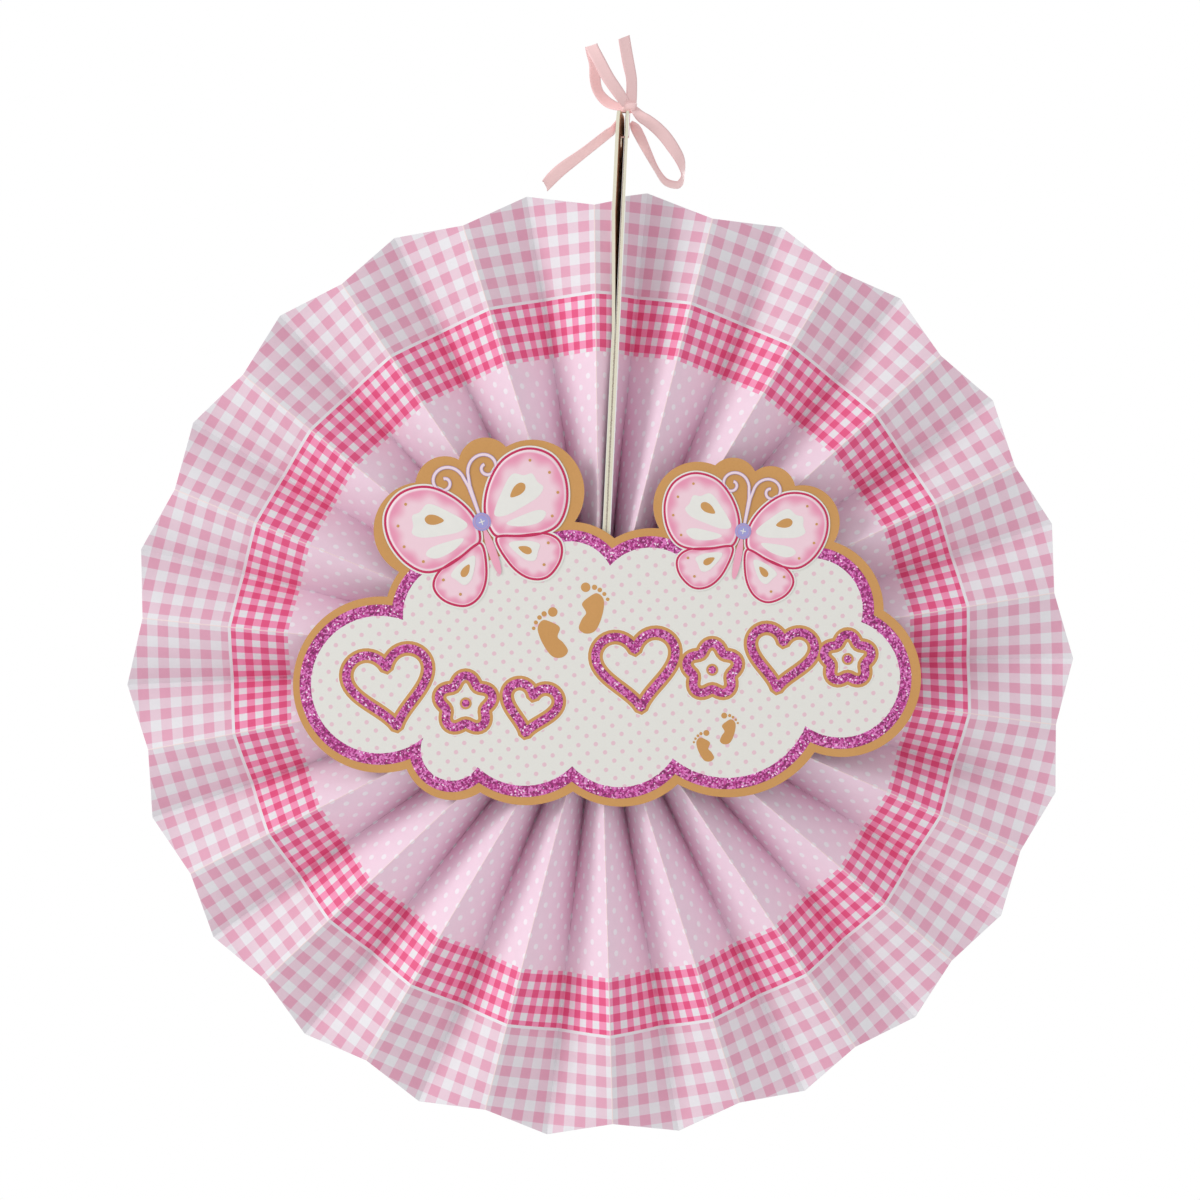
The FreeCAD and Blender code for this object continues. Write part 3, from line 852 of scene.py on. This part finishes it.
def make_glitter_band():
    """Raised band of glitter grains inside the gold border, with mitred corners."""
    rng = random.Random(4)
    covered = [lobe[1:] for lobe in (HIDDEN_LEFT, HIDDEN_RIGHT)]
    columns = 9
    verts = []
    faces = []
    outer_arcs = lobe_arcs(cloud_lobes(), GOLD_BORDER)
    inner_arcs = lobe_arcs(cloud_lobes(), GLITTER_EDGE)
    for lobe, outer_arc, inner_arc in zip(cloud_lobes(), outer_arcs, inner_arcs):
        if lobe[1:] in covered:
            continue
        centre, outer, first, last = outer_arc
        inner = inner_arc[1]
        inner_first, inner_last = near_angle(inner_arc[2], first), near_angle(inner_arc[3], last)
        steps = max(4, int(outer * (first - last) / GRAIN_STEP))
        base = len(verts)
        for step in range(steps + 1):
            part = step / steps
            for column in range(columns + 1):
                share = column / columns
                start = first + (inner_first - first) * share
                end = last + (inner_last - last) * share
                angle = start + (end - start) * part
                radius = outer + (inner - outer) * share
                if 0 < column < columns:
                    radius += rng.uniform(-GRAIN_SWAY, GRAIN_SWAY)
                edge = column in (0, columns)
                level = INK_DEPTH if edge else rng.uniform(*GRAIN_LEVELS)
                across = centre.x + radius * math.cos(angle)
                up = centre.y + radius * math.sin(angle)
                verts.append(card_point(across, up, level))
        faces.extend(grid_faces(steps + 1, columns + 1, base))
    return new_mesh("glitter_band", verts, faces, smooth=False)


def glitter_material():
    """Magenta grains, each with its own tint and tilt."""
    shader = Shader("magenta_glitter")
    where = shader.place()
    cells = shader.add("ShaderNodeTexVoronoi", {}, where, named={"Scale": 1500.0}, output=1)
    red, green, blue = shader.parts(cells)
    deep = shader.mix(red, linear(122, 14, 84), linear(196, 66, 150))
    pale = shader.mix(green, linear(206, 84, 164), linear(240, 150, 214))
    colour = shader.mix(blue.above(0.55), deep, pale)
    colour = shader.mix((green * blue).above(0.72), colour, linear(255, 226, 246))
    bump = shader.bump(red + green * 0.5, 0.9, 0.0006)
    return shader.finish(
        Base_Color=colour, Roughness=0.22 + blue * 0.3, Metallic=red.above(0.4) * 0.45, Normal=bump
    )


def gold_colour(shader, where):
    """Flat gold ink, a little cloudy."""
    grain = shader.noise(where, 1400.0, 3.0, 0.6)
    cloud = shader.noise(where, 45.0, 2.0, 0.5)
    gold = shader.mix(cloud, linear(201, 146, 80), linear(214, 160, 94))
    return shader.mix((grain - 0.35) * 0.4, gold, linear(176, 122, 62)), grain


def gold_material():
    shader = Shader("gold_ink")
    colour, grain = gold_colour(shader, shader.place())
    return shader.grainy(colour, grain, 0.42, 0.2, 0.1)


def card_material():
    """Gold printed front, cream cut edge and back."""
    shader = Shader("die_cut_card")
    where = shader.place()
    y = shader.parts(where)[1]
    gold, grain = gold_colour(shader, where)
    board = shader.mix(grain, linear(226, 220, 206), linear(238, 234, 222))
    front = y.below(CARD_FACE + GOLD_DEPTH * MM)
    colour = shader.mix(front, board, gold)
    return shader.grainy(colour, grain, 0.5, 0.2, 0.1)


def cream_material():
    """Cream field with small pink dots in staggered rows."""
    shader = Shader("dotted_cream")
    where = shader.place()
    x, _, z = shader.parts(where)
    cos, sin = math.cos(CREAM_LEAN), math.sin(CREAM_LEAN)
    across = (x - HUB.x) * cos + (z - HUB.z) * sin
    up = (z - HUB.z) * cos - (x - HUB.x) * sin
    dots = polka_dots(across, up, CREAM_ROWS, CREAM_ROWS, CREAM_DOT)
    grain = shader.noise(where, INK_GRAIN, 3.0, 0.6)
    cream = shader.mix(grain, linear(228, 227, 219), linear(236, 235, 228))
    colour = shader.mix(dots, cream, linear(232, 196, 206))
    return shader.grainy(colour, grain, 0.5, 0.15, 0.08)


def ink_material(name, pale, deep):
    """One printed colour that wavers a little between two tones."""
    shader = Shader(name)
    where = shader.place()
    grain = shader.noise(where, INK_GRAIN, 3.0, 0.6)
    cloud = shader.noise(where, 240.0, 2.0, 0.5)
    colour = shader.mix(cloud, linear(*pale), linear(*deep))
    return shader.grainy(colour, grain, 0.45, 0.15, 0.08)


def wing_material():
    """Pale pink, rosier in scallops towards the wing's edge."""
    shader = Shader("pink_wing")
    where = shader.uv("wing")
    share, around, _ = shader.parts(where)
    wave = (around * (2 * math.pi * SCALLOPS)).cosine()
    near_edge = (share + wave * 0.05).smooth(0.62, 0.92)
    rim = share.smooth(0.9, 0.95)
    grain = shader.noise(where, 60.0, 3.0, 0.6)
    colour = shader.mix(near_edge, linear(246, 212, 222), linear(237, 152, 182))
    colour = shader.mix(rim, colour, linear(250, 228, 234))
    colour = shader.mix((grain - 0.4) * 0.3, colour, linear(240, 184, 202))
    return shader.grainy(colour, grain, 0.45, 0.15, 0.05)


# Figures drawn on the card, in millimetres

# Each path lies this much over the one before it
STROKE_LIFT = 0.006
WING_DEPTH = 0.06
SCALLOPS = 9
# Lower and upper wings
WING_LEVELS = (0.3, 0.35)
EDGE_WIDTH = 0.95
EDGE_LIFT = 0.04
# A butterfly's other strokes: width, level over the card's face and ink
STROKES = {
    "halo": (2.4, 0.24, "cream"),
    "feeler_edges": (1.5, 0.28, "mauve"),
    "feelers": (1.0, 0.33, "blush"),
    "head_ring": (0.5, 0.58, "mauve"),
    "head_stitch": (0.42, 0.6, "cream"),
}
# Its flat prints: level of the top, depth and ink
PRINTS = {
    "patches": (0.42, INK_DEPTH, "cream"),
    "golds": (0.45, INK_DEPTH, "gold"),
    "body": (0.5, 0.12, "rose"),
    "head": (0.55, 0.1, "lilac"),
}


def smooth_outline(corners, steps=7):
    """Closed smooth curve through a few corners."""
    count = len(corners)
    points = []
    for index in range(count):
        near = [Vector(corners[(index + shift) % count]) for shift in (-1, 0, 1, 2)]
        points.extend(tuple(curve_point(*near, step / steps)) for step in range(steps))
    return points


def put(points, place):
    """Carry a figure's own points to the card: middle, scale, turn, and -1 to mirror it."""
    across, up, scale, turn, side = place
    cos, sin = math.cos(math.radians(turn)), math.sin(math.radians(turn))
    return [
        (across + scale * (side * x * cos - y * sin), up + scale * (side * x * sin + y * cos))
        for x, y in points
    ]


def disc(across, up, radius, steps):
    turns = [2 * math.pi * step / steps for step in range(steps)]
    return [(across + radius * math.cos(turn), up + radius * math.sin(turn)) for turn in turns]


def strokes(name, paths, width, level, crown=0.03, grain=0.0, closed=True):
    """Brush strokes of one width along paths, each a little over the last."""
    rng = random.Random(name)
    columns = 6
    verts = []
    faces = []
    for number, path in enumerate(paths):
        points = [Vector(point) for point in path]
        count = len(points)
        base = len(verts)
        for index, point in enumerate(points):
            if closed:
                run = points[(index + 1) % count] - points[index - 1]
            else:
                run = points[min(index + 1, count - 1)] - points[max(0, index - 1)]
            side = Vector((-run.y, run.x)).normalized() * width / 2
            for column in range(columns + 1):
                part = 2 * column / columns - 1
                place = point + side * part
                height = level + STROKE_LIFT * number + crown * (1 - part ** 2)
                if abs(part) < 1:
                    height += rng.uniform(-grain, grain)
                    place += Vector((rng.uniform(-grain, grain), rng.uniform(-grain, grain)))
                verts.append(card_point(place.x, place.y, height))
        for index in range(count if closed else count - 1):
            after = (index + 1) % count
            for column in range(columns):
                low = base + index * (columns + 1) + column
                high = base + after * (columns + 1) + column
                faces.append((low, low + 1, high + 1, high))
    piece = new_mesh(name, verts, faces, smooth=False)
    thicken(piece, INK_DEPTH * MM)
    face_out(piece)
    return piece


def wing_piece(name, outline, level):
    """Wing as rings from its middle to its edge, with UVs: share of the way out, turn."""
    rings = 12
    count = len(outline)
    middle = sum((Vector(point) for point in outline), Vector((0, 0))) / count
    verts = []
    for ring in range(1, rings + 1):
        for point in outline:
            place = middle + (Vector(point) - middle) * ring / rings
            verts.append(card_point(place.x, place.y, level))
    verts.append(card_point(middle.x, middle.y, level))
    faces = []
    for index in range(count):
        after = (index + 1) % count
        faces.append((len(verts) - 1, index, after))
        for ring in range(rings - 1):
            low, high = ring * count, (ring + 1) * count
            faces.append((low + index, high + index, high + after, low + after))
    wing = new_mesh(name, verts, faces)
    layer = wing.data.uv_layers.new(name="wing")
    for polygon in wing.data.polygons:
        turns = [wing.data.loops[loop].vertex_index % count for loop in polygon.loop_indices]
        wraps = max(turns) - min(turns) > count / 2
        for loop, turn in zip(polygon.loop_indices, turns):
            vertex = wing.data.loops[loop].vertex_index
            share = 0.0 if vertex == len(verts) - 1 else (vertex // count + 1) / rings
            layer.data[loop].uv = (share, (turn + (count if wraps and turn < count / 2 else 0)) / count)
    thicken(wing, WING_DEPTH * MM)
    face_out(wing)
    return wing


# Outlines for the right side of a butterfly, from the middle of its head
UPPER_WING = [
    (2.6, 3.5), (8.0, 14.0), (17.0, 21.5), (28.0, 22.5), (36.5, 16.5),
    (39.0, 6.5), (36.0, -4.5), (29.0, -12.0), (19.0, -12.5), (8.0, -9.0), (3.0, -6.5),
]
UPPER_PATCH = [
    (6.0, 1.5), (12.5, 9.5), (18.5, 14.5), (23.0, 12.5), (26.5, 12.0), (27.5, 8.0), (29.0, 5.0),
    (25.5, 2.0), (18.0, 0.2), (10.0, -0.8),
]
LOWER_PATCH = [(9.5, -4.0), (17.0, -3.0), (24.0, -3.2), (26.5, -5.5), (22.5, -8.2), (14.5, -7.2)]
LOWER_WING = [
    (3.4, -8.4), (13.0, -10.6), (23.5, -13.5), (28.0, -19.0), (25.5, -26.0),
    (18.0, -30.8), (10.5, -28.5), (5.2, -20.5),
]
TAIL_PATCH = [(7.5, -12.5), (14.0, -13.2), (19.5, -16.5), (18.0, -19.5), (15.5, -22.5), (11.5, -20.5)]
WING_DOTS = [(27.5, 17.5), (33.5, 10.0), (34.0, 1.0), (28.5, -7.5), (23.2, -17.5), (18.5, -25.5)]
BODY = [
    (0, -2.5), (1.5, -8), (1.7, -15), (1.2, -21), (0, -23.2), (-1.2, -21), (-1.7, -15), (-1.5, -8),
]
# Gold drops on the wings: middle, scale and turn
DROPS = ((18.5, 7.4, 1.15, 24), (13.2, -17.0, 0.85, -40))
DROP = [(-3.6, 0.0), (-0.6, 1.7), (2.2, 1.6), (3.4, 0.0), (2.2, -1.6), (-0.6, -1.7)]
HEAD_RADIUS = 3.8
RING_RADIUS = 0.78 * HEAD_RADIUS
STITCH = 1.3
WING_DOT = 0.62


def feeler_path():
    """Stalk that rises from the head and curls outwards in a spiral."""
    points = [(0.4 * step / 5, 3.0 + 16.0 * step / 5) for step in range(5)]
    for step in range(37):
        turn = math.radians(188.0 - 12.5 * step)
        radius = 8.4 * math.exp(-0.046 * step)
        points.append((9.3 + radius * math.cos(turn), 20.6 + radius * math.sin(turn)))
    return points


def draw(name, part, paths, scale, inks, closed=True):
    width, level, ink = STROKES[part]
    on_card(strokes(f"{name}_{part}", paths, width * scale, level, closed=closed), inks[ink])


def print_flat(name, part, outlines, inks):
    level, depth, ink = PRINTS[part]
    on_card(flat_piece(f"{name}_{part}", outlines, level, depth), inks[ink])


def make_wings(name, sides, scale, inks):
    wings = []
    for place in sides:
        wings.append(put(smooth_outline(LOWER_WING), place))
        wings.append(put(smooth_outline(UPPER_WING), place))
    draw(name, "halo", wings, scale, inks)
    for index, wing in enumerate(wings):
        level = WING_LEVELS[index % 2]
        on_card(wing_piece(f"{name}_wing_{index + 1}", wing, level), inks["wing"])
        edge = strokes(f"{name}_edge_{index + 1}", [wing], EDGE_WIDTH * scale, level + EDGE_LIFT)
        on_card(edge, inks["crimson"])


def make_wing_marks(name, sides, inks):
    patches = []
    golds = []
    for place in sides:
        for patch in (UPPER_PATCH, LOWER_PATCH, TAIL_PATCH):
            patches.append(put(smooth_outline(patch), place))
        for x, y, size, lean in DROPS:
            golds.append(put(put(smooth_outline(DROP, 5), (x, y, size, lean, 1)), place))
        for x, y in WING_DOTS:
            golds.append(put(disc(x, y, WING_DOT, 12), place))
    print_flat(name, "patches", patches, inks)
    print_flat(name, "golds", golds, inks)


def make_feelers(name, sides, scale, inks):
    feelers = [put(feeler_path(), place) for place in sides]
    for part in ("feeler_edges", "feelers"):
        draw(name, part, feelers, scale, inks, closed=False)


def make_body(name, place, scale, inks):
    """Body, round head, and the ring and crossed stitches on the head."""
    print_flat(name, "body", [put(smooth_outline(BODY), place)], inks)
    print_flat(name, "head", [put(disc(0, 0, HEAD_RADIUS, 36), place)], inks)
    draw(name, "head_ring", [put(disc(0, 0, RING_RADIUS, 36), place)], scale, inks)
    bars = [put([(-x, -y), (0, 0), (x, y)], place) for x, y in ((STITCH, 0), (0, STITCH))]
    draw(name, "head_stitch", bars, scale, inks, closed=False)


def make_butterfly(name, across, up, scale, turn, inks):
    sides = [(across, up, scale, turn, side) for side in (-1, 1)]
    make_wings(name, sides, scale, inks)
    make_wing_marks(name, sides, inks)
    make_feelers(name, sides, scale, inks)
    make_body(name, sides[1], scale, inks)


# One foot, from the middle of its sole, with its toes as discs
SOLE = [
    (-1.4, 6.6), (2.2, 8.3), (5.0, 5.4), (4.3, -1.0), (1.5, -7.2), (-2.6, -8.5),
    (-5.4, -6.4), (-4.2, -2.6), (-2.4, 0.2), (-4.1, 3.8),
]
TOES = [(-2.6, 10.8, 2.0), (1.1, 10.8, 1.1), (3.3, 9.7, 0.95), (5.2, 8.0, 0.85), (6.6, 5.8, 0.75)]
# Middle of each foot on the card, its scale, turn, and -1 for the mirrored one
FEET = [
    (-3.4, 21.6, 1.0, 0.0, 1),
    (-20.0, 11.0, 1.0, 12.0, -1),
    (53.4, -27.8, 0.62, 0.0, 1),
    (43.7, -35.2, 0.62, 8.0, -1),
]


def make_feet(gold):
    outlines = []
    for foot in FEET:
        outlines.append(put(smooth_outline(SOLE), foot))
        for x, y, radius in TOES:
            outlines.append(put(disc(x, y, radius, 18), foot))
    on_card(flat_piece("gold_feet", outlines, 0.12, 0.1), gold)


# Row of outlined figures: a heart's middle, width and turn, a flower's middle and radius
HEARTS = [
    (-87.5, -10.0, 36.0, 10.0), (-29.0, -18.5, 23.0, -12.0),
    (15.5, -2.5, 35.0, 6.0), (75.5, 2.5, 28.0, -8.0),
]
FLOWERS = [(-56.0, -16.0, 10.4), (46.8, -2.0, 10.0), (103.3, 2.5, 9.2)]
# Its strokes: ink, width, level, and the glitter's crown and grain
ORNAMENT = {
    "halo": ("cream", 7.2, 0.1),
    "gold": ("gold", 6.2, 0.14),
    "glitter": ("glitter", 3.5, 0.22, 0.12, 0.1),
}
# Dots in its flowers: radius, corners and level
FLOWER_DOTS = {"gold": (2.5, 28, 0.16), "glitter": (1.6, 24, 0.22)}


def soften(points, passes):
    """Round a closed path's sharp corners."""
    for _ in range(passes):
        ahead = points[1:] + points[:1]
        behind = points[-1:] + points[:-1]
        points = [
            ((x0 + 2 * x1 + x2) / 4, (y0 + 2 * y1 + y2) / 4)
            for (x0, y0), (x1, y1), (x2, y2) in zip(behind, points, ahead)
        ]
    return points


def heart_path(across, up, width, turn):
    points = []
    for step in range(72):
        t = 2 * math.pi * step / 72
        x = 16 * math.sin(t) ** 3
        y = 13 * math.cos(t) - 5 * math.cos(2 * t) - 2 * math.cos(3 * t) - math.cos(4 * t)
        points.append((x, y + 2.5))
    return put(soften(points, 8), (across, up, width / 32, turn, 1))


def flower_path(across, up, radius):
    points = []
    for step in range(70):
        t = 2 * math.pi * step / 70
        reach = radius * (0.72 + 0.42 * abs(math.cos(2.5 * t)))
        points.append((across + reach * math.sin(t), up + reach * math.cos(t)))
    return soften(points, 4)


def make_ornament(inks):
    """Glitter strokes with a gold outline and a thin pale halo, and dots in the flowers."""
    paths = [heart_path(*heart) for heart in HEARTS] + [flower_path(*flower) for flower in FLOWERS]
    for part, (ink, *stroke) in ORNAMENT.items():
        on_card(strokes("ornament_" + part, paths, *stroke), inks[ink])
        if part in FLOWER_DOTS:
            radius, corners, level = FLOWER_DOTS[part]
            dots = [disc(across, up, radius, corners) for across, up, _ in FLOWERS]
            on_card(flat_piece(f"ornament_{part}_dots", dots, level), inks[ink])


def make_card():
    inks = {
        "gold": gold_material(),
        "wing": wing_material(),
        "cream": ink_material("cream_ink", (240, 239, 232), (233, 232, 226)),
        "crimson": ink_material("crimson_ink", (206, 34, 92), (190, 24, 80)),
        "rose": ink_material("rose_ink", (240, 160, 186), (244, 178, 198)),
        "lilac": ink_material("lilac_ink", (150, 146, 208), (172, 168, 222)),
        "mauve": ink_material("mauve_ink", (176, 150, 196), (190, 164, 204)),
        "blush": ink_material("blush_ink", (246, 226, 232), (238, 214, 224)),
        "glitter": glitter_material(),
    }
    card = bpy.data.objects["cloud_card"]
    for slot in card.material_slots:
        slot.material = card_material()
    cloud = cloud_outline(GLITTER_EDGE - FIELD_OVERLAP)
    field = flat_piece("cream_field", [cloud], FIELD_DEPTH, FIELD_DEPTH)
    on_card(field, cream_material())
    on_card(make_glitter_band(), inks["glitter"])
    make_ornament(inks)
    make_feet(inks["gold"])
    make_butterfly("left_butterfly", -49.3, 59.7, 1.0, 19.5, inks)
    make_butterfly("right_butterfly", 59.7, 55.8, 0.88, -11.2, inks)


# Thread, pads and strips keep their solids

def thread_material():
    shader = Shader("white_thread")
    fibres = shader.noise(shader.place(), 3000.0, 2.0, 0.6)
    colour = shader.mix(fibres, linear(214, 208, 204), linear(238, 234, 230))
    return shader.finish(Base_Color=colour, Roughness=0.8 + fibres * 0.1)


def foam_material():
    shader = Shader("white_foam")
    cells = shader.noise(shader.place(), 2400.0, 2.0, 0.5)
    colour = shader.mix(cells, linear(222, 222, 220), linear(242, 242, 240))
    bump = shader.bump(cells, 0.4, 0.0003)
    return shader.finish(Base_Color=colour, Roughness=0.85 + cells * 0.1, Normal=bump)


def dress_solids():
    finishes = {
        "left_card_strip": strip_material("left_strip_board", -1.0),
        "right_card_strip": strip_material("right_strip_board", 1.0),
        "hub_thread": thread_material(),
        "adhesive_pads": foam_material(),
    }
    for node, material in finishes.items():
        for slot in bpy.data.objects[node].material_slots:
            slot.material = material


# Studio

AMBIENT = 0.67
# Each lamp's place from the hub and width in metres, and its power in watts
LAMPS = (
    ("key_light", (-2.1, -1.1, 0.9), 1.0, 25.0),
    ("fill_light", (1.6, -1.8, 0.0), 1.6, 3.0),
    ("back_light", (0.6, 1.8, 0.8), 1.4, 12.0),
)
FLOOR_DROP = 0.6
FLOOR_HALF = 1.6


def make_studio():
    """Soft light from the upper left, a pale floor well below and a white surround."""
    world = bpy.data.worlds.new("white_surround")
    bpy.context.scene.world = world
    world.use_nodes = True
    nodes, links = world.node_tree.nodes, world.node_tree.links
    nodes.clear()

    def background(colour, strength):
        node = nodes.new("ShaderNodeBackground")
        node.inputs[0].default_value = (*colour, 1.0)
        node.inputs[1].default_value = strength
        return node.outputs[0]

    def highest(first, second):
        node = nodes.new("ShaderNodeMath")
        node.operation = "MAXIMUM"
        links.new(first, node.inputs[0])
        links.new(second, node.inputs[1])
        return node.outputs[0]

    ray = nodes.new("ShaderNodeLightPath").outputs
    direct = highest(ray["Is Camera Ray"], ray["Is Glossy Ray"])
    mix = nodes.new("ShaderNodeMixShader")
    links.new(highest(direct, ray["Is Transmission Ray"]), mix.inputs[0])
    links.new(background((0.97, 0.97, 0.99), AMBIENT), mix.inputs[1])
    links.new(background((1.0, 1.0, 1.0), 1.0), mix.inputs[2])
    output = nodes.new("ShaderNodeOutputWorld")
    links.new(mix.outputs[0], output.inputs[0])
    for lamp in LAMPS:
        add_lamp(*lamp)
    add_floor()


def add_lamp(name, offset, width, power):
    lamp = bpy.data.lights.new(name, "AREA")
    lamp.shape = "SQUARE"
    lamp.size = width
    lamp.energy = power
    holder = add_object(name, lamp)
    holder.location = HUB + Vector(offset)
    aim = HUB - holder.location
    holder.rotation_euler = aim.to_track_quat("-Z", "Y").to_euler()


def add_floor():
    sides = ((-1, -1), (1, -1), (1, 1), (-1, 1))
    corners = [(FLOOR_HALF * x, FLOOR_HALF * y, HUB.z - FLOOR_DROP) for x, y in sides]
    floor = new_mesh("pale_floor", corners, [(0, 1, 2, 3)], smooth=False)
    shader = Shader("pale_floor")
    floor.data.materials.append(shader.finish(Base_Color=(0.86, 0.86, 0.86), Roughness=0.9))


def make_camera():
    lens = bpy.data.cameras.new("front_camera")
    lens.sensor_width = 36.0
    lens.lens = 36.0 * CAMERA_DISTANCE / VIEW_HEIGHT
    camera = add_object("front_camera", lens)
    camera.location = HUB + VIEW_CENTRE + Vector((0, -CAMERA_DISTANCE, 0))
    camera.rotation_euler = (math.pi / 2, 0, 0)
    bpy.context.scene.camera = camera
    bpy.context.scene.view_settings.view_transform = "Standard"


make_camera()
finish_piece(make_fan_paper(), "pleated_fan", None, "pleated_fan")
make_ribbon()
make_card()
dress_solids()
make_studio()
